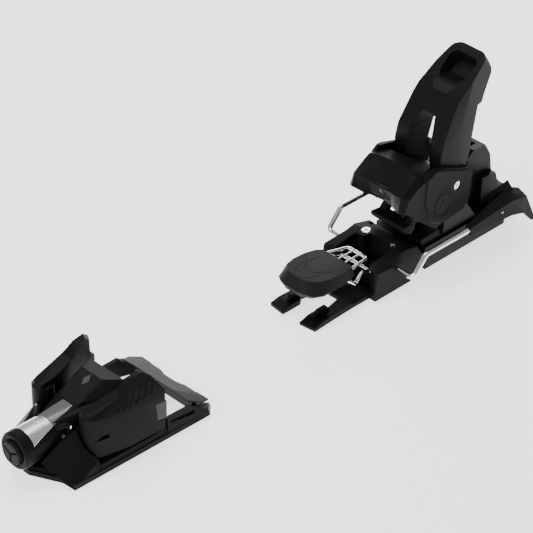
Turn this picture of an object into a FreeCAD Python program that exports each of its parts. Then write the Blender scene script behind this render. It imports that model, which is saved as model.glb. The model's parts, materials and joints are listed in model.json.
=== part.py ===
# Alpine ski binding: toe piece and heel piece with ski brake, in one frame.
# Millimetres. Origin: centre of the toe piece's four mounting holes, on the ski's top face.
# +X runs back along the ski towards the heel piece, +Y to the skier's right, +Z up.
import FreeCAD
import Part
import math
import os

V = FreeCAD.Vector
os.makedirs("parts", exist_ok=True)

# ---- driving dimensions ------------------------------------------------------------------
TUBE_Z = 28.0          # height of the toe spring tube's axis
TUBE_R = 16.0          # outside radius of the toe spring tube
TUBE_BORE = 12.0       # bore of the toe spring tube
TUBE_FRONT = -78.0     # front end of the toe spring tube
WING_X = -24.0         # toe wing pivots
WING_Y = 29.0
WING_PIN_R = 2.5
TILT_X = -42.0         # cross pin that the toe head tilts on
TILT_Z = 31.0
TILT_PIN_R = 2.5
WHEEL_X = 14.0         # toe height wheel
TOE_HOLES_X = 62.0     # toe mounting pattern
TOE_HOLES_Y = 36.0
HOLE_R = 2.75
BOOT_STOP = 23.0       # plane that the front of the boot's sole meets
HEEL = 343.0           # front lip of the heel cup: the boot sole is 320 mm long
PIVOT_X = HEEL + 62.0  # cross pin that the heel body turns on
PIVOT_Z = 52.0
PIVOT_R = 4.0
LEVER_X = HEEL + 57.0  # cross pin that the lever turns on
LEVER_Z = 76.0
LEVER_R = 3.0
BRAKE_X = 327.0        # axis of the brake arms in their block
BRAKE_Z = 22.0
BRAKE_Y = 51.5         # brake arm, from the centre line
WIRE_R = 2.5
PEDAL_X = 292.0        # axis of the pedal's rear loops
PEDAL_Z = 30.0
TRACK_HOLES_FRONT = 384.0
TRACK_HOLES_REAR = 464.0
TRACK_HOLES_Y = 26.0
RUN = 0.05             # running clearance, radial
GAP = 0.4              # clearance between parts that pass each other


# ---- helpers -----------------------------------------------------------------------------
def box(x0, x1, y0, y1, z0, z1):
    return Part.makeBox(x1 - x0, y1 - y0, z1 - z0, V(x0, y0, z0))


def rod_x(x0, x1, y, z, r):
    return Part.makeCylinder(r, x1 - x0, V(x0, y, z), V(1, 0, 0))


def rod_y(x, y0, y1, z, r):
    return Part.makeCylinder(r, y1 - y0, V(x, y0, z), V(0, 1, 0))


def rod_z(x, y, z0, z1, r):
    return Part.makeCylinder(r, z1 - z0, V(x, y, z0), V(0, 0, 1))


def mirror(shape):
    return shape.mirror(V(0, 0, 0), V(0, 1, 0))


def fuse(*shapes):
    out = shapes[0]
    for s in shapes[1:]:
        out = out.fuse(s)
    return out.removeSplitter()


def cut(shape, *tools):
    for t in tools:
        shape = shape.cut(t)
    return shape


def both(shape):
    return fuse(shape, mirror(shape))


def side(points, y0, y1):
    """A flat outline in X and Z, pulled across from y0 to y1."""
    wire = Part.makePolygon([V(x, y0, z) for x, z in points] + [V(points[0][0], y0, points[0][1])])
    return Part.Face(wire).extrude(V(0, y1 - y0, 0))


def plan(points, z0, z1):
    """A flat outline in X and Y, pulled up from z0 to z1."""
    wire = Part.makePolygon([V(x, y, z0) for x, y in points] + [V(points[0][0], points[0][1], z0)])
    return Part.Face(wire).extrude(V(0, 0, z1 - z0))


def hull(points):
    """The smallest convex solid around some points, with one flat face on each side."""
    pts = []
    for p in points:
        v = V(*p)
        if all((v - q).Length > 1e-4 for q in pts):
            pts.append(v)
    n = len(pts)
    faces = []
    planes = []
    for i in range(n):
        for j in range(i + 1, n):
            for k in range(j + 1, n):
                normal = (pts[j] - pts[i]).cross(pts[k] - pts[i])
                if normal.Length < 1e-3:
                    continue
                normal.normalize()
                dist = [normal.dot(p - pts[i]) for p in pts]
                if max(dist) > 1e-3 and min(dist) < -1e-3:
                    continue
                if max(dist) > 1e-3:
                    normal = normal * -1.0
                level = normal.dot(pts[i])
                if any((normal - m).Length < 1e-3 and abs(level - lv) < 2e-3 for m, lv in planes):
                    continue
                planes.append((normal, level))
                ring = [p for p, d in zip(pts, dist) if abs(d) <= 1e-3]
                mid = V(0, 0, 0)
                for p in ring:
                    mid = mid + p
                mid = mid * (1.0 / len(ring))
                a = ring[0] - mid
                a.normalize()
                b = normal.cross(a)
                ring.sort(key=lambda p: math.atan2((p - mid).dot(b), (p - mid).dot(a)))
                q = 0
                while q < len(ring):
                    before = ring[q] - ring[q - 1]
                    after = ring[(q + 1) % len(ring)] - ring[q]
                    if before.cross(after).dot(normal) < 1e-4:
                        ring.pop(q)
                        q = 0
                    else:
                        q += 1
                faces.append(Part.Face(Part.makePolygon(ring + [ring[0]])))
    solid = Part.Solid(Part.Shell(faces))
    if solid.Volume < 0:
        solid.reverse()
    return solid


def wide(points):
    """Points given on the -Y side, with their mirror images."""
    return points + [(x, -y, z) for x, y, z in points]


def ring(x, y, r, z, n=14):
    """Points round a circle, lying flat."""
    step = 2 * math.pi / n
    return [(x + r * math.cos(i * step), y + r * math.sin(i * step), z) for i in range(n)]


def wire_path(points, r, bend):
    """A round wire through some points, with its corners bent to a radius."""
    pts = [V(*p) for p in points]
    edges = []
    last = pts[0]
    for i in range(1, len(pts) - 1):
        a = (pts[i - 1] - pts[i]).normalize()
        b = (pts[i + 1] - pts[i]).normalize()
        angle = a.getAngle(b)
        back = bend / math.tan(angle / 2)
        p1 = pts[i] + a * back
        p2 = pts[i] + b * back
        half = (a + b).normalize()
        centre = pts[i] + half * (bend / math.sin(angle / 2))
        mid = centre - half * bend
        if (p1 - last).Length > 1e-6:
            edges.append(Part.makeLine(last, p1))
        edges.append(Part.Arc(p1, mid, p2).toShape())
        last = p2
    edges.append(Part.makeLine(last, pts[-1]))
    path = Part.Wire(edges)
    circle = Part.Wire([Part.makeCircle(r, pts[0], pts[1] - pts[0])])
    return path.makePipeShell([circle], True, True)


def coil(x0, x1, y, z, r, wire, turns):
    """A compression spring along X."""
    length = x1 - x0 - 2 * wire
    helix = Part.makeHelix(length / turns, length, r)
    circle = Part.Wire([Part.makeCircle(wire, V(r, 0, 0), V(0, 1, 0))])
    spring = Part.Wire(helix).makePipeShell([circle], True, True)
    spring.rotate(V(0, 0, 0), V(0, 1, 0), 90)
    spring.translate(V(x0 + wire, y, z))
    return spring


def cross_slot(x, y, z, size, depth):
    """A cross recess cut down into a screw head."""
    return fuse(box(x - size, x + size, y - 0.6, y + 0.6, z - depth, z + 1),
                box(x - 0.6, x + 0.6, y - size, y + size, z - depth, z + 1))


def save(name, shape):
    if shape.ShapeType == "Compound" and len(shape.Solids) == 1:
        shape = shape.Solids[0]
    ok = shape.isValid() and len(shape.Solids) >= 1
    b = shape.BoundBox
    print("%-24s %s solids %d vol %.0f  x %.1f %.1f  y %.1f %.1f  z %.1f %.1f" % (
        name, "ok" if ok else "BAD", len(shape.Solids), shape.Volume,
        b.XMin, b.XMax, b.YMin, b.YMax, b.ZMin, b.ZMax))
    shape.exportStep("parts/%s.step" % name)


# ---- toe piece: base ---------------------------------------------------------------------
def toe_base():
    half = [(-69.5, 0), (-69.5, -3.4), (-56.7, -30.5), (-56, -44.3), (70.6, -47.8), (70.6, -41.5), (46, -40.5),
            (36, -33), (27, -25), (26, 0)]
    floor = plan(half + [(x, -y) for x, y in reversed(half[1:-1])], 0, 5)
    prow = hull(wide([(-69.5, -3.4, 0), (-67, -3.4, 8), (-56.7, -30.5, 0), (-50, -30, 9), (-50, -3, 9), (-50, -30, 0)]))
    # Wall beside the spring tube, with its swept front edge.
    front_cheek = hull([
        (-69, -18.5, 20.5), (-34, -25.4, 40), (-34, -18.5, 38), (-28, -26.5, 37), (-56, -44.3, 0), (-28, -44.9, 0),
        (-28, -42.5, 13), (-28, -18.5, 0), (-60, -18.5, 8), (-36, -43.5, 12)])
    cheek = cut(front_cheek, box(-80, 0, -17.4, 0, 0, 60))
    # Low shoulder under the wing, rising into the side rail.
    shoulder = hull([
        (-29, -44.9, 0), (-29, -26, 0), (-29, -43.4, 9.6), (-29, -26, 9.6),
        (46, -47, 0), (46, -34, 0), (46, -45, 9.6), (46, -36, 9.6), (20, -24, 0), (20, -26, 9.6)])
    shoulder = cut(shoulder, plan([(27, -24), (36, -33), (46, -40.5), (50, -40.5), (50, -20), (27, -20)], -1, 20))
    rail = hull([
        (43.6, -46.9, 0), (43.6, -41, 0), (43.6, -45.5, 19), (43.6, -42, 19),
        (70.6, -47.8, 0), (70.6, -41.5, 0), (70.6, -46.5, 18), (70.6, -42.4, 18)])
    rail_end = hull([
        (70.5, -47.8, 0), (70.5, -41.5, 0), (70.5, -46.5, 16.6), (70.5, -42.4, 16.6),
        (87, -50, 2), (96, -41, 2), (86, -48.6, 8.4), (95, -40, 5.4), (84, -34, 2), (84, -34, 8)])
    near = fuse(cheek, shoulder, rail, rail_end)
    # Room for the wing and for the far side of its pivot.
    near = cut(near, rod_z(WING_X, -WING_Y, 9.6, 60, 12.4), box(-26, 43.5, -50, -14, 9.8, 50),
               box(-35.9, 0, -30, -14, 9.6, 60))
    # Stepped slot in the outside of the rail.
    for i in range(3):
        near = cut(near, box(47 + 8 * i, 56 + 8 * i, -50, -45, 13.0 - 1.2 * i, 16.4 - 1.2 * i))
    # Crossbar that carries the gliding plate.
    bar = hull(wide([(80, -44, 2), (80, -42, 12.4), (88, -30, 2), (87, -30, 10.8), (91, -20, 2), (89, -20, 9),
                     (77, -38, 15.2), (77, -30, 16)]))
    lug = rod_z(TOE_HOLES_X / 2, -TOE_HOLES_Y / 2, 0, 5, 6.4)
    body = fuse(floor, prow, near, mirror(near), bar, lug, mirror(lug), rod_z(WHEEL_X, 0, 5, 9, 7))
    body = cut(body, rod_z(WHEEL_X, 0, 2, 30, 3 + RUN))
    # Bore of the cross pin.
    body = cut(body, rod_y(TILT_X, -22, 22, TILT_Z, TILT_PIN_R))
    for x in (-TOE_HOLES_X / 2, TOE_HOLES_X / 2):
        for y in (-TOE_HOLES_Y / 2, TOE_HOLES_Y / 2):
            body = cut(body, rod_z(x, y, -1, 5.5, HOLE_R))
            body = cut(body, rod_z(x, y, 5, 50, 5.4))
    # Trough that the spring tube lies in.
    body = cut(body, rod_x(-90, 30, 0, TUBE_Z, TUBE_R + 1.2))
    return body


def glide_plate():
    """Wide plate across the back of the toe piece that the boot sole rests on."""
    lobe = hull([(71, -39.4, 20.0), (71, -39.4, 18.8), (83, -44.5, 13.8), (83, -43.5, 12.4),
                 (94, -40.6, 9.8), (94, -40.6, 8.4), (71, -22, 21.4), (71, -22, 20), (93, -28, 10.6), (93, -28, 9)])
    middle = hull(wide([(71, -22.5, 21.4), (71, -22.5, 20), (92, -29, 11), (92, -29, 9.2)]))
    plate = fuse(lobe, mirror(lobe), middle)
    waist = plan([(88, -6.5), (96, -24), (110, -24), (110, 24), (96, 24), (88, 6.5)], 0, 40)
    return cut(plate, waist)


# ---- toe piece: head ---------------------------------------------------------------------
def tube_cover(x0, x1, y0, y1, r0, r1):
    """A piece of the tube's skin, between two radii, under a tapering outline."""
    shell = cut(rod_x(x0, x1, 0, TUBE_Z, r1), rod_x(x0 - 1, x1 + 1, 0, TUBE_Z, r0))
    return shell.common(plan([(x0, -y0), (x1, -y1), (x1, y1), (x0, y0)], TUBE_Z, TUBE_Z + 30))


def tube_strip():
    return tube_cover(-70.8, -46.8, 14.2, 9.8, 14.6, 16.5)


def toe_window():
    return hull(wide([(-46.6, -9.4, 39.6), (-46.6, -9.7, 41.4), (-46.6, -5, 44.4), (-22.6, -9.2, 39.6),
                      (-22.6, -9.2, 45.4), (-22.6, -5, 47.2)]))


def toe_housing():
    tube = rod_x(TUBE_FRONT, 4, 0, TUBE_Z, TUBE_R)
    shoulders = hull(wide([
        (-46, -13, 36), (-40, -16.6, 28), (4, -16.6, 18), (-40, -14, 22), (-46, -8, 42.6),
        (-30, -11, 45.4), (-22, -14, 46.6), (-14, -18.2, 47), (4, -21.6, 47.5), (4, -21.6, 44),
        (-6, -14, 50), (4, -14, 50)]))
    # Ear that carries the wing, inside its hub.
    ear = fuse(rod_z(WING_X, -WING_Y, 27.4, 34.6, 6.5), box(WING_X - 6.5, WING_X + 6.5, -WING_Y, -12, 27.4, 34.6))
    rear = hull(wide([(2, -16.6, 18), (2, -21.6, 47.5), (22, -16.6, 20), (20, -20, 47.5), (2, -16.6, 47.5)]))
    body = fuse(tube, shoulders, rear, ear, mirror(ear))
    body = cut(body, rod_z(WING_X, -WING_Y, 34.6, 60, 10.4), rod_z(WING_X, WING_Y, 34.6, 60, 10.4))
    body = cut(body, rod_z(WING_X, -WING_Y, 0, 27.4, 10.4), rod_z(WING_X, WING_Y, 0, 27.4, 10.4))
    # Seats for the bright strip and the window on top of the tube.
    body = cut(body, tube_strip(), toe_window())
    body = cut(body, rod_x(-90, 2, 0, TUBE_Z, TUBE_BORE))
    # Slot for the indicator.
    body = cut(body, box(-55, -29, -4.4, 4.4, 38, 42.4))
    body = cut(body, rod_y(TILT_X, -60, 60, TILT_Z, TILT_PIN_R + RUN))
    for y in (-WING_Y, WING_Y):
        body = cut(body, rod_z(WING_X, y, 0, 60, WING_PIN_R))
    return body


def wing(sign):
    """One toe wing on the -Y side, reaching back and up beside the boot's toe."""
    hub = rod_z(WING_X, -WING_Y, 12.6, 51, 9.5)
    front = ring(WING_X, -WING_Y, 9.5, 12.6) + ring(WING_X, -WING_Y, 9.5, 50.5) + ring(WING_X, -WING_Y, 7, 54.6)
    arm = hull(front + [
        (-27, -38.6, 14), (-27, -38.6, 43), (-20, -40.4, 12.6), (-18, -40.8, 45),
        (6, -44, 11.4), (6, -29, 12), (6, -27, 59.5), (6, -44.8, 47.5), (6, -38, 62)])
    blade = hull([
        (6, -44, 11.4), (6, -44.8, 47.5), (6, -29, 12), (6, -27, 59.5), (6, -38, 62),
        (11, -29.4, 68), (15, -35.5, 70.5), (24, -30.6, 70), (26, -36.5, 71), (30, -32.5, 65), (33, -38, 65.4), (37, -41.5, 57.6), (41, -46.4, 51),
        (40.5, -46.4, 12.6), (38, -43, 11), (36, -38, 20), (24, -33, 40), (31, -36, 60)])
    body = fuse(arm, blade)
    # Clear of the head's flank, and slotted for the ear.
    body = cut(body, box(-40, 25, -23.4, 0, 0, 80))
    body = fuse(body, hub)
    body = cut(body, rod_z(WING_X, -WING_Y, 27, 35, 7.4), box(-50, WING_X + 7.2, -WING_Y, 0, 27, 35))
    body = cut(body, rod_z(WING_X, -WING_Y, 10, 50.4, WING_PIN_R + RUN))
    # Notch in the outside, and the recess for the sole pad.
    body = cut(body, box(-40, -15, -50, -38.2, 30, 34))
    body = cut(body, hull([(33, -30, 22), (33, -50, 22), (45, -30, 22), (45, -50, 22),
                           (31, -30, 40), (31, -50, 40), (45, -30, 40), (45, -50, 40)]))
    if sign > 0:
        body = mirror(body)
    return body


def wing_pad(sign):
    """Hard pad on the wing that the boot's toe lug bears on."""
    pad = hull([(33.3, -38, 22.3), (33.3, -45.6, 22.3), (42.2, -46.8, 22.3), (42.2, -41, 22.3),
                (31.5, -36, 39.7), (31.5, -45.2, 39.7), (42.4, -46.8, 39.7), (42.4, -41, 39.7)])
    return mirror(pad) if sign > 0 else pad


# ---- heel piece: track and brake ------------------------------------------------------------
def heel_track():
    spine = box(279, 497, -25.4, 25.4, 0, 4)
    tongue = plan([(230, -10), (232, -27.3), (258, -26), (279.5, -25.4), (279.5, -10.6), (258, -14.7), (251, -10)], 0, 5.5)
    tip = side([(228, 2), (241, 5.5), (241, 9), (228, 9)], -40, 0)
    rib = side([(240, 5), (245, 11.5), (255, 11.5), (260, 5)], -17.5, -14.9)
    near = fuse(cut(tongue, tip), rib)
    # Rails that hold the carriage down.
    rail = fuse(box(362, 489, -25.4, -21, 4, 11), box(362, 489, -25.4, -18, 8.4, 11))
    rack = box(412, 446, -4, 4, 3, 14.2)
    for i in range(8):
        rack = cut(rack, box(414 + 4 * i, 416 + 4 * i, -7, 7, 12.2, 16))
    end = hull(wide([(495, -17, 0), (499, -16, 0), (495, -17, 11), (499, -14, 11)]))
    body = fuse(spine, near, mirror(near), rail, mirror(rail), rack, end)
    for x in (TRACK_HOLES_FRONT, TRACK_HOLES_REAR):
        for y in (-TRACK_HOLES_Y / 2, TRACK_HOLES_Y / 2):
            body = cut(body, rod_z(x, y, -1, 20, HOLE_R))
    for y in (-16, 16):
        body = cut(body, rod_z(338.5, y, -1, 10, 2.0))
    return body


def brake_block():
    horn = hull([
        (299, -33, 6.4), (303, -33, 28), (301, -31, 30.5), (306, -20.5, 30.5), (306, -20.5, 6.4),
        (330, -33, 6.4), (330, -33, 26), (330, -29, 33.5), (330, -20.5, 33.5)])
    body = hull(wide([
        (322, -33, 6.4), (322, -29, 32.4), (322, -33, 27), (336, -33, 6.4), (338, -30, 34.5), (336, -33, 25),
        (358, -31.5, 6.4), (360, -31.5, 22), (356, -29, 30), (352, -27, 32)]))
    skirt = plan([(300, -33), (300, -26), (345, -26), (345, -33)], 0.5, 6.6)
    under = box(308, 356, -25.9, 25.9, 4.2, 6.6)
    block = fuse(horn, mirror(horn), body, skirt, mirror(skirt), under)
    # Well between the horns for the pedal's links.
    block = cut(block, box(290, 330, -20.4, 20.4, 9, 40))
    block = cut(block, hull(wide([(320, -14, 9), (320, -14, 40), (337, -9, 9), (337, -9, 40)])))
    # Step for the treadle at the back.
    block = cut(block, hull([(349, -24, 30.5), (349, 24, 30.5), (370, -24, 26), (370, 24, 26),
                             (349, -24, 60), (349, 24, 60), (370, -24, 60), (370, 24, 60)]))
    # Bearings of the brake arms.
    block = cut(block, rod_y(BRAKE_X, -60, -20, BRAKE_Z, WIRE_R + RUN))
    block = cut(block, rod_y(BRAKE_X, 20, 60, BRAKE_Z, WIRE_R + RUN))
    # Bearings of the pedal's shaft.
    block = cut(block, rod_y(308.5, -28, 28, 22, 1.8 + RUN))
    for y in (-16, 16):
        block = cut(block, rod_z(338.5, y, 0, 60, 2.0))
        block = cut(block, rod_z(338.5, y, 31.6, 60, 4.6))
    return block


def block_screw(y):
    shank = rod_z(338.5, y, 1, 32, 2.0)
    head = Part.makeCone(2.6, 4.5, 2.2, V(338.5, y, 31.7), V(0, 0, 1))
    return cut(fuse(shank, head), cross_slot(338.5, y, 33.9, 2.6, 1.4))


def brake_wire(sign):
    """Bent steel arm from the block back to its fin."""
    arm = wire_path([(BRAKE_X, -22, BRAKE_Z), (BRAKE_X, -BRAKE_Y, BRAKE_Z), (343, -BRAKE_Y, 39.3),
                     (440, -BRAKE_Y, 38.2)], WIRE_R, 5)
    return mirror(arm) if sign > 0 else arm


def brake_fin(sign):
    """Moulded fin over the back of the arm, with a flange that leans in over the ski's edge."""
    root = hull([(397, -54.6, 35), (397, -48.4, 35), (397, -54.6, 42), (397, -48.4, 42.5),
                 (452, -54.6, 30), (452, -45, 30), (452, -53, 44), (452, -40, 47)])
    blade = hull([(452, -54.6, 30), (452, -45, 30), (452, -53, 44), (452, -40, 47),
                  (470, -54, 24), (481, -46, 33), (470, -36, 43), (480, -36, 38), (470, -48, 24),
                  (474, -40, 28)])
    tip = hull([(468, -54.2, 25), (468, -50, 25), (481, -46, 32), (484, -54, 12), (480, -54, 11), (484, -50, 12),
                (480, -50, 11), (478, -40, 30)])
    flange = hull([(438, -42, 40), (438, -39, 43), (440, -36, 50), (440, -34, 48), (466, -35, 52), (466, -33.5, 49),
                   (470, -38, 42), (470, -42, 38)])
    body = fuse(root, blade, tip, flange)
    body = cut(body, brake_wire(-1))
    return mirror(body) if sign > 0 else body


def pedal():
    top = wide([(236, -7, 42.4), (238.5, -13.5, 42.6), (244, -19.5, 42.2), (254, -22, 41.6), (268, -22.6, 40.2),
                (280, -21, 38.8), (286, -17, 38)])
    low = wide([(229.5, -7, 33.4), (231.5, -15, 33), (236, -21.5, 32.2), (243, -25, 31.4), (256, -26, 30.8),
                (272, -25, 30), (285, -22, 30.5), (232, -8, 27.8), (238, -17, 27), (248, -21.5, 26.4), (272, -21, 26.2),
                (285, -17, 28)])
    body = hull(top + low)
    body = cut(body, rod_y(PEDAL_X, -30, 30, PEDAL_Z, 6), box(280, 300, -12, 12, 20, 33))
    return cut(body, pedal_link(), pedal_loop())


def pedal_link():
    """Steel wires that join the pedal to its shaft in the block, one on each side."""
    near = wire_path([(275, -19, 29.6), (289, -19, 18), (298.5, -17.5, 24.5), (308.5, -17.5, 22),
                      (308.5, -25, 22)], 1.8, 2.6)
    return fuse(near, mirror(near), rod_y(308.5, -17.5, 17.5, 22, 1.8))


def pedal_loop():
    """Bright wire loop behind the pedal, in front of its shaft."""
    near = wire_path([(278, -18, 34.5), (311.5, -11.5, 30.5), (311.5, 0.5, 30.5)], 1.6, 3.0)
    inner = rod_x(284, 311.5, -4, 31.8, 0.9)
    return fuse(near, mirror(near), inner, mirror(inner))


# ---- heel piece: carriage ---------------------------------------------------------------------
def carriage():
    deck = box(366, 476, -30, 30, 11.4, 24)
    skirt = box(366, 470, -30, -25.8, 4.4, 12)
    hook = fuse(skirt, box(366, 470, -30, -25.8, 1, 5))
    tail = hull(wide([(470, -21, 12), (470, -21, 28), (488, -16, 12), (488, -15, 27)]))
    ear = hull([(390, -27, 22), (390, -20, 22), (396, -27, 55), (396, -20, 55), (400, -27, 61), (400, -20, 61),
                (410, -27, 61), (410, -20, 61), (415, -27, 54), (415, -20, 54), (436, -27, 22), (436, -20, 22)])
    nose = hull(wide([(366, -29, 14), (366, -24, 29), (392, -24, 30), (392, -29.5, 14)]))
    spring_seat = hull(wide([(448, -19, 23), (452, -17.5, 52), (476, -19, 23), (470, -17, 50)]))
    tower = hull(wide([(436, -11.3, 22), (438, -11.3, 76), (446, -11.3, 81), (461, -11.3, 80.6), (468, -11.3, 68),
                       (470.5, -11.3, 42), (474, -11.3, 22)]))
    body = fuse(deck, hook, mirror(hook), tail, ear, mirror(ear), nose, spring_seat, tower)
    # Bores: main pin, heel spring, release screw, forward-pressure screw and its well.
    body = cut(body, rod_y(PIVOT_X, -40, 40, PIVOT_Z, PIVOT_R))
    body = cut(body, rod_x(430, 464, 0, 60, 8.5))
    body = cut(body, rod_x(460, 480, 0, 60, 4 + RUN))
    body = cut(body, rod_x(400, 500, 0, 19.6, 3.5 + RUN), box(404, 452, -5.4, 5.4, 0, 19.6))
    body = cut(body, rod_x(404, 452, 0, 19.6, 5.4))
    # Window over the indicator.
    body = cut(body, box(440, 456, -4, 4, 66, 90))
    # Room over the track's rails.
    body = cut(body, box(360, 500, -25.8, -17.6, 0, 11.4), box(360, 500, 17.6, 25.8, 0, 11.4))
    body = cut(body, box(360, 500, -25.8, 25.8, 0, 8))
    return body


def pressure_screw():
    worm = rod_x(405, 451, 0, 19.6, 5.0)
    for i in range(11):
        ring = cut(rod_x(407 + 4 * i, 409 + 4 * i, 0, 19.6, 6), rod_x(406 + 4 * i, 410 + 4 * i, 0, 19.6, 4.0))
        worm = cut(worm, ring)
    stem = rod_x(450, 490, 0, 19.6, 3.5)
    head = rod_x(489.6, 492, 0, 19.6, 5.0)
    screw = fuse(worm, stem, head)
    return cut(screw, box(490.6, 493, -4, 4, 18.8, 20.4), box(490.6, 493, -0.8, 0.8, 15.6, 23.6))


# ---- heel piece: turning body --------------------------------------------------------------------
def heel_cup():
    """Hood over the boot's heel, with the drum behind it that turns on the main pin."""
    h = HEEL
    sections = [
        (0, [(0, 70.5), (-4, 86), (13, 104.5), (34, 98), (34, 62), (9, 67)]),
        (-12, [(-3, 72), (-5.5, 87.5), (12.5, 104.5), (34, 98), (34, 60), (8, 67)]),
        (-20, [(-8, 74.5), (-8, 89), (11.5, 104.2), (34, 97), (34, 56), (6, 67)]),
        (-28, [(-12, 78), (-9, 90.5), (10, 102.5), (34, 97), (34, 50), (5, 68)]),
        (-33, [(-9, 76), (-4, 87), (9, 95), (34, 93), (34, 47), (5, 66)])]
    wires = []
    for y, outline in sections:
        pts = [V(h + x, y, z) for x, z in outline]
        wires.append(Part.makePolygon(pts + [pts[0]]))
    shell = Part.makeLoft(wires, True, True)
    cheek = hull([(h + 4, -33, 66), (h + 2, -31, 65), (h + 6, -33, 88), (h + 14, -33, 56), (h + 14, -33, 97),
                  (h + 4, -22, 70), (h + 14, -20, 60), (h + 34, -33, 40.5), (h + 34, -33, 95), (h + 34, -14, 44),
                  (h + 34, -20, 95), (h + 14, -20, 97)])
    near = fuse(shell, cheek)
    hood = fuse(near, mirror(near))
    # Hollow under the hood for the boot's heel ledge and the treadle's arms.
    hollow = hull(wide([(h + 8, -19.5, 40), (h + 8, -19.5, 76), (h + 24, -19.5, 78), (h + 30, -19.5, 40)]))
    hood = cut(hood, hollow)
    # Saddle and drum.
    drum = hull(wide([
        (h + 30, -13, 46), (h + 30, -13, 92), (h + 46, -13, 90), (h + 58, -13, 84), (h + 70, -13, 72),
        (h + 74, -13, 56), (h + 72, -13, 46), (h + 62, -13, 40.5), (h + 50, -13, 40.5)]))
    body = fuse(hood, drum)
    fin = hull([(h + 2, -25, 68), (h + 8, -29, 70), (h + 8, -20, 74), (h - 4, -22, 74), (h - 1, -23.5, 64)])
    body = fuse(body, fin, mirror(fin))
    # Sides of the carriage's ears and the lever's arms pass here.
    slot = hull([(h + 36, -27.6, 20), (h + 36, -13.2, 20), (h + 32, -27.6, 62), (h + 32, -13.2, 62),
                 (h + 44, -27.6, 66), (h + 44, -13.2, 66), (h + 90, -27.6, 66), (h + 90, -13.2, 66),
                 (h + 90, -27.6, 20), (h + 90, -13.2, 20)])
    body = cut(body, slot, mirror(slot))
    body = cut(body, rod_y(PIVOT_X, -40, 40, PIVOT_Z, PIVOT_R + RUN))
    for sign in (-1, 1):
        body = cut(body, heel_side(sign))
        body = cut(body, rod_y(LEVER_X, 12 * sign if sign > 0 else -40, 40 if sign > 0 else -12, LEVER_Z, LEVER_R))
    return body


def heel_side(sign):
    """Large side panel of the heel body."""
    h = HEEL
    outer = [(h + 17, 74), (h + 19, 98), (h + 30, 102), (h + 42, 98), (h + 66, 87), (h + 76, 80), (h + 73, 58),
             (h + 66, 48), (h + 38, 45), (h + 24, 54)]
    rim = [(h + 14.4, 70), (h + 16, 98), (h + 22, 105), (h + 44, 99.5), (h + 78, 83), (h + 79, 72), (h + 75, 50),
           (h + 69, 44), (h + 36, 41.5), (h + 21, 50)]
    slab = hull([(x, -28, z) for x, z in rim] + [(x, -31, z) for x, z in rim] + [(x, -34.2, z) for x, z in outer])
    slab = cut(slab, rod_y(LEVER_X, -36, -31.5, LEVER_Z, 4.2))
    slab = cut(slab, rod_y(LEVER_X, -36, -27, LEVER_Z, LEVER_R))
    slab = cut(slab, rod_y(h + 38, -36, -33.7, 65.6, 9))
    return mirror(slab) if sign > 0 else slab


def treadle():
    """Plate under the boot's heel that steps the heel body shut."""
    h = HEEL
    plate = hull(wide([(h + 5, -20, 45), (h + 5, -20, 48), (h + 12, -22, 40), (h + 20, -19, 40.5), (h + 20, -19, 47),
                       (h + 8, -20, 41)]))
    arm = hull([(h + 14, -19, 41), (h + 14, -12, 41), (h + 14, -19, 47), (h + 14, -12, 47),
                (h + 29.9, -19, 50), (h + 29.9, -12.9, 50), (h + 29.9, -19, 62), (h + 29.9, -12.9, 62)])
    return cut(fuse(plate, arm, mirror(arm)), heel_cup())


def on_face(along, y, up):
    """A point given in the sloping plane of the lever's upper face."""
    return V(HEEL + 84 + 0.838 * along - 0.545 * up, y, 165.5 + 0.545 * along + 0.838 * up)


def lever():
    """Two-armed lever with a slot between the arms and a dished top."""
    h = HEEL
    outline = [(50, 69), (46, 74), (42, 92), (41, 106), (45, 121), (60, 146), (66, 153.5), (84, 165.5), (104, 178.4),
               (108.5, 180.4), (112.6, 174), (114, 160), (103, 143), (90, 113), (79, 86), (68, 72), (62, 69)]
    body = side([(h + x, z) for x, z in outline], -27.4, 27.4)
    near_taper = hull([(h + 20, -27.5, 116), (h + 140, -27.5, 116), (h + 20, -21.5, 182), (h + 140, -21.5, 182),
                       (h + 20, -50, 116), (h + 140, -50, 116), (h + 20, -50, 182), (h + 140, -50, 182)])
    back_taper = hull([(h + 62, -27.5, 84), (h + 106, -19, 84), (h + 62, -27.5, 190), (h + 106, -19, 190),
                       (h + 62, -50, 84), (h + 140, -50, 84), (h + 62, -50, 190), (h + 140, -50, 190),
                       (h + 140, -12.5, 84), (h + 140, -12.5, 190)])
    body = cut(body, near_taper, mirror(near_taper), back_taper, mirror(back_taper))
    # Slot between the arms, narrowing towards the top.
    body = cut(body, plan([(h + 20, -14), (h + 130, -14), (h + 130, 14), (h + 20, 14)], 40, 117))
    body = cut(body, hull(wide([(h + 20, -14, 116), (h + 130, -14, 116), (h + 20, -7, 137), (h + 130, -7, 137)])))
    back = hull([(h + 66, -13.9, 90), (h + 83, -25, 90), (h + 110, -13.9, 90), (h + 110, -25, 90),
                 (h + 82, -13.9, 137), (h + 98, -24, 137), (h + 120, -13.9, 137), (h + 120, -24, 137)])
    body = cut(body, back, mirror(back))
    # Rounded corners at the top, and the finger dish.
    corner = [(15, 21.2), (20, 20.2), (24.5, 18), (27.5, 14.5), (29, 10), (44, 10), (44, 34), (15, 34)]
    start = [on_face(along, -y, -46) for along, y in corner]
    prism = Part.Face(Part.makePolygon(start + [start[0]])).extrude(V(-0.545, 0, 0.838) * 62)
    body = cut(body, prism, mirror(prism))
    dish = hull(wide([tuple(on_face(along, -y, up)) for along, y, up in (
        (-10, 9, 3), (-8, 12, 3), (-4, 14, 3), (12, 15.6, 3), (17, 14.6, 3), (20.5, 11, 3), (-8.5, 8.5, -1.5),
        (-4, 12, -3), (3, 11, -10.5), (12, 12.6, -12), (18, 9, -12))]))
    body = cut(body, dish)
    return cut(body, rod_y(LEVER_X, -40, 40, LEVER_Z, LEVER_R + RUN))


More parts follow.
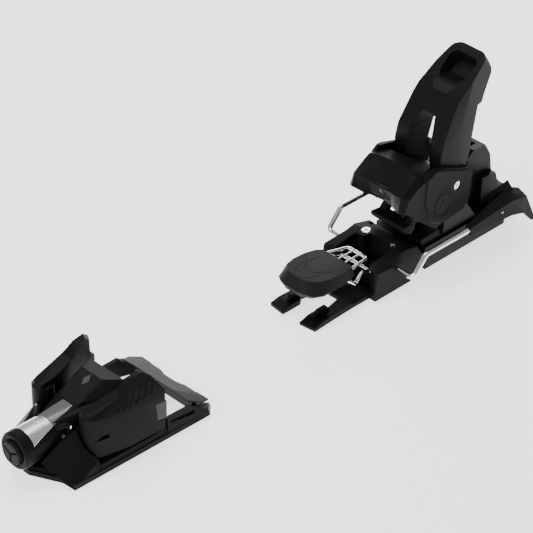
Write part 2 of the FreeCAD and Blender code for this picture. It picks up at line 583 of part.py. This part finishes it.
def lever_pad():
    """Soft insert let into the lever below its dish."""
    return hull(wide([tuple(on_face(along, -y, up)) for along, y, up in (
        (-21, 8, -1.4), (-21, 8, 0.3), (-11.5, 12.5, -1.4), (-11.5, 12.5, 0.3))]))


# ---- build: toe piece --------------------------------------------------------------------------
def nose_cap():
    ring = Part.makeCone(15.2, 16.8, 2.4, V(TUBE_FRONT - 3, 0, TUBE_Z), V(1, 0, 0))
    ring = fuse(ring, rod_x(TUBE_FRONT - 0.6, TUBE_FRONT + 7, 0, TUBE_Z, 16.8))
    ring = cut(ring, rod_x(TUBE_FRONT, TUBE_FRONT + 8, 0, TUBE_Z, TUBE_R))
    ring = cut(ring, rod_x(TUBE_FRONT - 5, TUBE_FRONT + 1, 0, TUBE_Z, 11 + RUN))
    ring = cut(ring, rod_x(TUBE_FRONT - 5, TUBE_FRONT - 2.0, 0, TUBE_Z, 12.4))
    return ring


def toe_screw():
    disc = Part.makeCone(9.6, 10.4, 1.4, V(TUBE_FRONT - 6.4, 0, TUBE_Z), V(1, 0, 0))
    disc = fuse(disc, rod_x(TUBE_FRONT - 5, TUBE_FRONT + 3, 0, TUBE_Z, 10.4), rod_x(TUBE_FRONT, -34, 0, TUBE_Z, 3.5))
    for i in range(3):
        slot = box(TUBE_FRONT - 8, TUBE_FRONT - 4.6, -0.9, 0.9, 0, 9.4)
        slot.rotate(V(0, 0, 0), V(1, 0, 0), 60 + 120 * i)
        slot.translate(V(0, 0, TUBE_Z))
        disc = cut(disc, slot)
    return disc


def toe_nut():
    """Threaded seat that the release screw draws along the tube, with the setting mark on it."""
    nut = cut(rod_x(-56, -48, 0, TUBE_Z, TUBE_BORE - 0.4), rod_x(-60, -40, 0, TUBE_Z, 3.5 + RUN))
    return cut(nut, toe_indicator())


def toe_indicator():
    return fuse(box(-54, -39, -4, 4, 40.2, 41.8), box(-54, -50, -4, 4, 36, 41))


def toe_piston():
    """Cup that the spring pushes on, with the face that the wings' cams bear on."""
    head = rod_x(-6, 0, 0, TUBE_Z, TUBE_BORE - 0.4)
    stem = rod_x(-30, -5, 0, TUBE_Z, 3.0)
    return fuse(head, stem)


save("toe_base", toe_base())
save("glide_plate", glide_plate())
save("toe_housing", toe_housing())
save("nose_cap", nose_cap())
save("toe_release_screw", toe_screw())
save("toe_spring_seat", toe_nut())
save("toe_indicator", toe_indicator())
save("toe_spring", coil(-47.6, -6.4, 0, TUBE_Z, 8.6, 1.4, 8))
save("toe_piston", toe_piston())
save("tube_strip", tube_strip())
save("toe_window", cut(toe_window(), rod_x(-60, 0, 0, TUBE_Z, TUBE_BORE), box(-55, -29, -4.4, 4.4, 38, 42.4)))
visor = hull(wide([
    (-22.2, -9.4, 42.8), (-22.2, -9.4, 47.6), (-20, -11.5, 50.4), (20, -20.5, 50.4), (20, -20.4, 58), (4, -12.3, 62),
    (-8, -7, 56), (4, -21.8, 50.4), (10, -22, 52), (-6, -14, 50.4)]))
visor = cut(visor, toe_housing(), box(-30, 30, -30, 30, 40, 45.6))
save("visor", visor)
for side_name, sign in (("left", -1), ("right", 1)):
    y = sign * WING_Y
    save("%s_wing" % side_name, wing(sign))
    save("%s_wing_pad" % side_name, wing_pad(sign))
    save("%s_wing_pin" % side_name, rod_z(WING_X, y, 13.2, 50.2, WING_PIN_R))
    pin = rod_y(TILT_X, 12.2, 22, TILT_Z, TILT_PIN_R)
    save("%s_tilt_pin" % side_name, pin if sign > 0 else mirror(pin))
wheel = fuse(rod_z(WHEEL_X, 0, 9.2, 11.6, 9), rod_z(WHEEL_X, 0, 5.2, 10, 3))
for i in range(24):
    notch = rod_z(WHEEL_X + 9.4, 0, 9, 12, 0.8)
    notch.rotate(V(WHEEL_X, 0, 0), V(0, 0, 1), 15 * i)
    wheel = cut(wheel, notch)
save("height_wheel", wheel)

# ---- build: heel piece -------------------------------------------------------------------------
save("heel_track", heel_track())
save("brake_block", brake_block())
save("block_screw_left", block_screw(-16))
save("block_screw_right", block_screw(16))
for side_name, sign in (("left", -1), ("right", 1)):
    save("brake_wire_%s" % side_name, brake_wire(sign))
    save("brake_fin_%s" % side_name, brake_fin(sign))
save("brake_pedal", pedal())
save("pedal_link", pedal_link())
save("pedal_loop", pedal_loop())
save("carriage", carriage())
save("pressure_screw", pressure_screw())
save("heel_spring", coil(436, 456, 0, 60, 6.4, 1.3, 4))
save("heel_piston", cut(fuse(rod_x(424, 434, 0, 60, 8), rod_x(432, 446, 0, 60, 3.0)), box(400, 416, -20, 20, 40, 80)))
save("heel_spring_seat", cut(rod_x(456.4, 460, 0, 60, 8.1), rod_x(450, 470, 0, 60, 3.0 + RUN)))
heel_screw = fuse(rod_x(456, 470, 0, 60, 3.0), rod_x(464.4, 476, 0, 60, 4.0))
save("heel_release_screw", cut(heel_screw, box(474.6, 480, -0.7, 0.7, 56, 64)))
save("main_pin", rod_y(PIVOT_X, -27.2, 27.2, PIVOT_Z, PIVOT_R))
save("heel_cup", heel_cup())
for side_name, sign in (("left", -1), ("right", 1)):
    save("heel_side_%s" % side_name, heel_side(sign))
    disc = rod_y(HEEL + 38, 33.7, 34.6, 65.6, 8.8)
    save("side_disc_%s" % side_name, disc if sign > 0 else mirror(disc))
    bolt = fuse(rod_y(LEVER_X, 13.2, 32, LEVER_Z, LEVER_R), rod_y(LEVER_X, 31.5, 33.4, LEVER_Z, 4.1))
    bolt = cut(bolt, rod_y(LEVER_X, 32.4, 34, LEVER_Z, 2.0))
    save("lever_pin_%s" % side_name, bolt if sign > 0 else mirror(bolt))
save("treadle", treadle())
lever_shape = lever()
pad_shape = lever_pad()
save("lever", cut(lever_shape, pad_shape))
save("lever_pad", pad_shape)
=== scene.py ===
import json
import math

import bmesh
import bpy
from mathutils import Matrix, Vector
from mathutils.bvhtree import BVHTree


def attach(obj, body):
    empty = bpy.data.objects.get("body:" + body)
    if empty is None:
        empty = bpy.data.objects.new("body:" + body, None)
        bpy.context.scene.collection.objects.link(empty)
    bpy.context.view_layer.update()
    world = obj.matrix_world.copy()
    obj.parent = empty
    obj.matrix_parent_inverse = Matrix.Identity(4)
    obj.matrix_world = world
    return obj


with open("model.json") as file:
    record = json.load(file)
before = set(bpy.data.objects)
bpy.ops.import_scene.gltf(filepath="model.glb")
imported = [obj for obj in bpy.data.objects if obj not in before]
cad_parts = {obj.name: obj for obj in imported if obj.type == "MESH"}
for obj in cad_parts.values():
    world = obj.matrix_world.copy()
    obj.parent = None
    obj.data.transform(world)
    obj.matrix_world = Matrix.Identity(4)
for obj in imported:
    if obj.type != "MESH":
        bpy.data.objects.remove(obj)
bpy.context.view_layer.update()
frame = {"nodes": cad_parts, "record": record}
scene = bpy.context.scene
MM = 0.001

# ---- placing of the small details, in mm unless a name says otherwise ------------------------
ABOVE = 60             # height from which details are dropped onto a top face
BESIDE = 35            # distance from the centre line for details set on a side panel
HOOD_X = 335           # place in front of the heel cup's hood
RAY_BACK = 0.03        # metres that a ray starts behind its point
RAY_REACH = 0.08       # metres that a ray may travel
SIDES = (("left", -1), ("right", 1))
DOWN = (0, 0, -1)
REARWARD = (1, 0, 0)
DISC_X, DISC_Z = 381, 65.6      # centre of the round disc on the heel's side panel

# ---- softened edges: width of the rounding on each CAD piece, mm -----------------------------
EDGE = {
    "toe_base": 0.9, "glide_plate": 0.8, "toe_housing": 0.9, "nose_cap": 0.6,
    "toe_release_screw": 0.4, "visor": 0.8, "left_wing": 1.2, "right_wing": 1.2,
    "left_wing_pad": 0.6, "right_wing_pad": 0.6, "heel_track": 0.5, "brake_block": 1.2,
    "brake_fin_left": 1.2, "brake_fin_right": 1.2, "brake_pedal": 2.2, "carriage": 0.9,
    "heel_cup": 1.6, "heel_side_left": 1.0, "heel_side_right": 1.0, "treadle": 0.8,
    "lever": 2.0, "lever_pad": 0.4, "tube_strip": 0.3, "toe_window": 0.3, "height_wheel": 0.2,
}
FINE_EDGE = 0.15       # pieces that EDGE doesn't list
FINE_SEGMENTS = 2
FINE_ANGLE = 35


# ---- materials -------------------------------------------------------------------------------
def new_material(name):
    mat = bpy.data.materials.new(name)
    mat.use_nodes = True
    nodes = mat.node_tree.nodes
    nodes.clear()
    out = nodes.new("ShaderNodeOutputMaterial")
    bsdf = nodes.new("ShaderNodeBsdfPrincipled")
    mat.node_tree.links.new(bsdf.outputs["BSDF"], out.inputs["Surface"])
    return mat, nodes, mat.node_tree.links, bsdf


def add_bump(nodes, links, bsdf, vector, scale, detail, strength):
    """Noise along a vector, as a shallow bump on the surface."""
    noise = nodes.new("ShaderNodeTexNoise")
    noise.inputs["Scale"].default_value = scale
    noise.inputs["Detail"].default_value = detail
    links.new(vector, noise.inputs["Vector"])
    bump = nodes.new("ShaderNodeBump")
    bump.inputs["Strength"].default_value = strength
    bump.inputs["Distance"].default_value = 0.0002
    links.new(noise.outputs["Fac"], bump.inputs["Height"])
    links.new(bump.outputs["Normal"], bsdf.inputs["Normal"])


def plastic(name, color, rough, grain_strength=0.25, spec=0.12):
    """Moulded plastic, or paint, with a fine grain."""
    mat, nodes, links, bsdf = new_material(name)
    bsdf.inputs["Base Color"].default_value = (*color, 1)
    bsdf.inputs["Roughness"].default_value = rough
    bsdf.inputs["IOR"].default_value = 1.3
    bsdf.inputs["Specular IOR Level"].default_value = spec
    coord = nodes.new("ShaderNodeTexCoord")
    add_bump(nodes, links, bsdf, coord.outputs["Object"], 900, 3, grain_strength)
    return mat


def metal(name, color, rough, stretch=None):
    """Bare metal, brushed along one direction where stretch is given."""
    mat, nodes, links, bsdf = new_material(name)
    bsdf.inputs["Base Color"].default_value = (*color, 1)
    bsdf.inputs["Metallic"].default_value = 1.0
    bsdf.inputs["Roughness"].default_value = rough
    if stretch:
        coord = nodes.new("ShaderNodeTexCoord")
        mapping = nodes.new("ShaderNodeMapping")
        mapping.inputs["Scale"].default_value = stretch
        links.new(coord.outputs["Object"], mapping.inputs["Vector"])
        add_bump(nodes, links, bsdf, mapping.outputs["Vector"], 300, 4, 0.3)
    return mat


def smoked(name):
    """Smoked clear plastic."""
    mat, nodes, links, bsdf = new_material(name)
    bsdf.inputs["Base Color"].default_value = (0.16, 0.165, 0.175, 1)
    bsdf.inputs["Roughness"].default_value = 0.22
    bsdf.inputs["Transmission Weight"].default_value = 0.35
    bsdf.inputs["IOR"].default_value = 1.45
    coord = nodes.new("ShaderNodeTexCoord")
    add_bump(nodes, links, bsdf, coord.outputs["Object"], 500, 2, 0.05)
    return mat


LOOKS = {
    "seam": plastic("m_seam", (0.002, 0.002, 0.002), 0.6),
    "emblem": plastic("m_emblem", (0.07, 0.07, 0.073), 0.35),
    "black_plastic": plastic("m_black_plastic", (0.0075, 0.0075, 0.008), 0.40),
    "dark_plastic": plastic("m_dark_plastic", (0.013, 0.013, 0.0135), 0.46),
    "gloss_black": plastic("m_gloss_black", (0.021, 0.021, 0.022), 0.36, 0.12),
    "strip_metal": metal("m_strip_metal", (0.80, 0.80, 0.81), 0.26, (1, 14, 14)),
    "window_glass": smoked("m_window"),
    "bright_steel": metal("m_bright_steel", (0.82, 0.82, 0.84), 0.12),
    "plain_steel": metal("m_plain_steel", (0.55, 0.55, 0.57), 0.28, (14, 14, 1)),
    "black_metal": plastic("m_black_metal", (0.008, 0.008, 0.009), 0.34, 0.2, 0.22),
    "mark": plastic("m_mark", (0.75, 0.55, 0.03), 0.4),
    "grey_pad": plastic("m_grey_pad", (0.06, 0.06, 0.065), 0.30, 0.08),
    "soft_pad": plastic("m_soft_pad", (0.016, 0.016, 0.017), 0.55, 0.3),
}
SLOT_OF = {s["node"]: s["material_slot"] for s in frame["record"]["subparts"]}


def dress(obj, slot):
    obj.data.materials.clear()
    obj.data.materials.append(LOOKS[slot])


def shade_smooth(mesh):
    for poly in mesh.polygons:
        poly.use_smooth = True


# ---- the CAD pieces --------------------------------------------------------------------------
def soften(obj, width, segments=3, angle=24):
    """Rounded edges, by modifiers alone."""
    weld = obj.modifiers.new("weld", "WELD")
    weld.merge_threshold = 0.00002
    bevel = obj.modifiers.new("bevel", "BEVEL")
    bevel.width = width
    bevel.segments = segments
    bevel.limit_method = "ANGLE"
    bevel.angle_limit = math.radians(angle)
    bevel.harden_normals = False
    bevel.use_clamp_overlap = True
    normals = obj.modifiers.new("normals", "WEIGHTED_NORMAL")
    normals.keep_sharp = False
    shade_smooth(obj.data)


def dress_cad():
    for name, obj in frame["nodes"].items():
        dress(obj, SLOT_OF[name])
        if name in EDGE:
            soften(obj, EDGE[name] * MM)
        else:
            soften(obj, FINE_EDGE * MM, FINE_SEGMENTS, FINE_ANGLE)


# ---- makers of small surface details ---------------------------------------------------------
def surface(node):
    """A ray tester for one CAD piece, in world space."""
    obj = frame["nodes"][node]
    bm = bmesh.new()
    bm.from_mesh(obj.data)
    bm.transform(obj.matrix_world)
    tree = BVHTree.FromBMesh(bm)
    bm.free()
    return tree


def drape(tree, points, toward):
    """Points (mm) dropped onto a surface along a direction; misses are left out."""
    toward = Vector(toward).normalized()
    hits = []
    for point in points:
        start = Vector(point) * MM - toward * RAY_BACK
        hit, normal, _, _ = tree.ray_cast(start, toward, RAY_REACH)
        if hit is not None:
            if normal.dot(toward) > 0:
                normal = -normal
            hits.append((hit, normal))
    return hits


def dense(points, step=1.0):
    """The same path with a point about every step mm."""
    pts = [Vector(p) for p in points]
    out = [pts[0]]
    for a, b in zip(pts, pts[1:]):
        n = max(1, int((b - a).length / step))
        out += [a.lerp(b, i / n) for i in range(1, n + 1)]
    return out


def place(name, mesh, look, body):
    """A new object from a mesh, dressed and riding on its body."""
    obj = bpy.data.objects.new(name, mesh)
    scene.collection.objects.link(obj)
    dress(obj, look)
    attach(obj, body)
    return obj


def thread(name, points, radius, look, body):
    """A thin round cord through world points."""
    curve = bpy.data.curves.new(name, "CURVE")
    curve.dimensions = "3D"
    curve.bevel_depth = radius
    curve.bevel_resolution = 2
    curve.use_fill_caps = True
    line = curve.splines.new("POLY")
    line.points.add(len(points) - 1)
    for q, p in zip(line.points, points):
        q.co = (*p, 1)
    temp = bpy.data.objects.new(name + "_curve", curve)
    scene.collection.objects.link(temp)
    graph = bpy.context.evaluated_depsgraph_get()
    mesh = bpy.data.meshes.new_from_object(temp.evaluated_get(graph))
    bpy.data.objects.remove(temp)
    shade_smooth(mesh)
    place(name, mesh, look, body)


def seam(name, node, points, toward, body, radius, look="seam", sink=0.55):
    """A fine line or raised rib in the surface of a piece, sunk by a share of its radius."""
    hits = drape(surface(node), dense(points), toward)
    if len(hits) < 2:
        return
    path = [h - n * radius * MM * sink for h, n in hits]
    thread(name, path, radius * MM, look, body)


def plate(name, node, points, toward, body, look, rise):
    """A thin flat emblem or panel that stands a little above a surface."""
    hits = drape(surface(node), points, toward)
    if len(hits) < 3:
        return
    sink = 0.4
    bm = bmesh.new()
    top = [bm.verts.new(h + n * rise * MM) for h, n in hits]
    low = [bm.verts.new(h - n * sink * MM) for h, n in hits]
    bm.faces.new(top)
    bm.faces.new(list(reversed(low)))
    count = len(top)
    for i in range(count):
        j = (i + 1) % count
        bm.faces.new((top[i], low[i], low[j], top[j]))
    bmesh.ops.recalc_face_normals(bm, faces=bm.faces)
    mesh = bpy.data.meshes.new(name)
    bm.to_mesh(mesh)
    bm.free()
    place(name, mesh, look, body)


def stub(name, centre, direction, radius, length, look, body):
    """A short pin with rounded rims."""
    bm = bmesh.new()
    bmesh.ops.create_cone(bm, cap_ends=True, segments=24, radius1=radius * MM,
                          radius2=radius * MM, depth=length * MM)
    turn = Vector(direction).to_track_quat("Z", "Y").to_matrix().to_4x4()
    bm.transform(Matrix.Translation(Vector(centre) * MM) @ turn)
    mesh = bpy.data.meshes.new(name)
    bm.to_mesh(mesh)
    bm.free()
    shade_smooth(mesh)
    obj = place(name, mesh, look, body)
    bevel = obj.modifiers.new("bevel", "BEVEL")
    bevel.width = 0.3 * radius * MM
    bevel.segments = 3


# ---- the details themselves ------------------------------------------------------------------
def pedal_front_line():
    half = [(274, 11), (258, 10), (252, 6)]
    path = [(x, -y, ABOVE) for x, y in half] + [(x, y, ABOVE) for x, y in reversed(half)]
    seam("pedal_line_a", "brake_pedal", path, DOWN, "brake_pedal", 0.35)


def pedal_side_line(tag, sign):
    path = [(x, y * sign, ABOVE) for x, y in ((240, 6), (247, 11), (262, 13), (268, 22))]
    seam("pedal_line_" + tag, "brake_pedal", path, DOWN, "brake_pedal", 0.35)


def cheek_line(tag, sign):
    """Line round the outside of the toe base's cheek."""
    outline = ((-38, 24, 36), (-37, 30, 28), (-36, 36, 20), (-33, 40, 13), (-29, 44, 7), (-24, 46, 4))
    path = [(x, y * sign, z) for x, y, z in outline]
    seam("cheek_line_" + tag, "toe_base", path, (0, -sign, 0), "ski_fixed", 0.3)


def hook(tag, sign):
    """Hook-shaped lug with its bright pin, beside the spring tube."""
    route = ((-46, 12.0, 39.5), (-42, 15.0, 41.2), (-39, 17.6, 41.8), (-37.4, 18.8, 40.4),
             (-37, 18.6, 35))
    path = [Vector((x, y * sign, z)) * MM for x, y, z in route]
    thread("hook_lug_" + tag, path, 2.3 * MM, "black_plastic", "toe_head")
    stub("hook_pin_" + tag, (-37.6, 20.0 * sign, 40.8), (0, sign, 0), 1.3, 3.2, "bright_steel",
         "toe_head")


def wing_ribs(tag, sign):
    """Raised wavy ribs on the wing's sloping outer face."""
    wing = tag + "_wing"
    for k in range(6):
        x = -11 + 7.5 * k
        path = [(x + 1.6 * i, sign * (45.2 - 0.85 * i + 0.9 * math.sin(1.5 * i + k)), ABOVE)
                for i in range(8)]
        seam("wing_rib_%s_%d" % (tag, k), wing, path, DOWN, wing, 0.7,
             "black_plastic", 0.15)


def side_lines(tag, sign):
    """Curved lines round the disc on the side panel: radius, and first and last angle."""
    arcs = ((11.4, 200, 330), (13.6, 215, 300), (11.4, 20, 120), (14.2, 40, 100))
    for k, (radius, first, last) in enumerate(arcs):
        turns = [math.radians(t) for t in range(first, last + 1, 10)]
        path = [(DISC_X + radius * math.cos(t), BESIDE * sign, DISC_Z + radius * math.sin(t))
                for t in turns]
        seam("side_line_%s_%d" % (tag, k), "heel_side_" + tag, path, (0, -sign, 0), "heel_body",
             0.35)


def disc_arrow(tag, sign):
    """Generic arrow mark on the round disc."""
    path = [(x, BESIDE * sign, z)
            for x, z in ((DISC_X - 4.5, 61.5), (DISC_X, 70.5), (DISC_X + 4.5, 61.5))]
    seam("disc_line_" + tag, "side_disc_" + tag, path, (0, -sign, 0), "heel_body",
         0.4)


def emblems():
    """Plain diamond on the visor, plain panel and triangle on the hood."""
    diamond = [(-7.5, 0, ABOVE), (-2.5, -3.2, ABOVE), (3.0, 0, ABOVE), (-2.5, 3.2, ABOVE)]
    plate("visor_mark", "visor", diamond, DOWN, "toe_head", "emblem", 0.12)
    outline = ((-9.5, 78), (-8.5, 76.5), (8.5, 76.5), (9.5, 78), (8.5, 89), (-8.5, 89))
    plate("hood_panel", "heel_cup", [(HOOD_X, y, z) for y, z in outline], REARWARD, "heel_body",
          "black_plastic", 0.6)
    triangle = [(HOOD_X, -3.4, 80), (HOOD_X, 3.4, 80), (HOOD_X, 0, 86)]
    plate("hood_mark", "heel_cup", triangle, REARWARD, "heel_body", "emblem",
          0.75)


# ---- floor, light and camera -----------------------------------------------------------------
def add_floor():
    bpy.ops.mesh.primitive_plane_add(size=9, location=(0.2, 0, -0.0004))
    floor = bpy.context.object
    floor.name = "floor"
    mat, _, _, bsdf = new_material("m_floor")
    bsdf.inputs["Base Color"].default_value = (0.90, 0.90, 0.90, 1)
    bsdf.inputs["Roughness"].default_value = 0.9
    bsdf.inputs["Emission Color"].default_value = (1, 1, 1, 1)
    bsdf.inputs["Emission Strength"].default_value = 1.6
    floor.data.materials.append(mat)


def add_world():
    world = bpy.data.worlds.new("studio")
    scene.world = world
    world.use_nodes = True
    background = world.node_tree.nodes["Background"]
    background.inputs["Color"].default_value = (1, 1, 1, 1)
    background.inputs["Strength"].default_value = 0.42


def area_light(name, place_at, size, power):
    """A rectangular light that looks at the middle of the object."""
    data = bpy.data.lights.new(name, "AREA")
    data.shape = "RECTANGLE"
    data.size, data.size_y = size
    data.energy = power
    lamp = bpy.data.objects.new(name, data)
    scene.collection.objects.link(lamp)
    lamp.location = place_at
    toward = Vector((0.21, 0, 0.05)) - Vector(place_at)
    lamp.rotation_euler = toward.to_track_quat("-Z", "Y").to_euler()


def add_camera():
    data = bpy.data.cameras.new("camera")
    camera = bpy.data.objects.new("camera", data)
    scene.collection.objects.link(camera)
    scene.camera = camera
    data.sensor_width = 36
    data.lens = 202.626642
    data.clip_start = 0.05
    data.clip_end = 20
    azimuth = math.radians(-44.2735)
    elevation = math.radians(35.1740)
    camera.location = (-1.241158, -1.478684, 1.525936)
    # the view runs towards +X and +Y, and down
    toward = Vector((math.cos(elevation) * -math.sin(azimuth),
                     math.cos(elevation) * math.cos(azimuth),
                     -math.sin(elevation)))
    camera.rotation_euler = toward.to_track_quat("-Z", "Y").to_euler()


dress_cad()
pedal_front_line()
for side, hand in SIDES:
    pedal_side_line(side, hand)
    cheek_line(side, hand)
    hook(side, hand)
    wing_ribs(side, hand)
    side_lines(side, hand)
    disc_arrow(side, hand)
emblems()
add_floor()
add_world()
area_light("key", (0.15, 0.35, 1.4), (1.0, 0.6), 13)
area_light("fill", (-1.3, 0.1, 0.9), (0.9, 0.6), 12)
area_light("back", (1.2, 0.9, 0.6), (0.7, 0.5), 7)
add_camera()
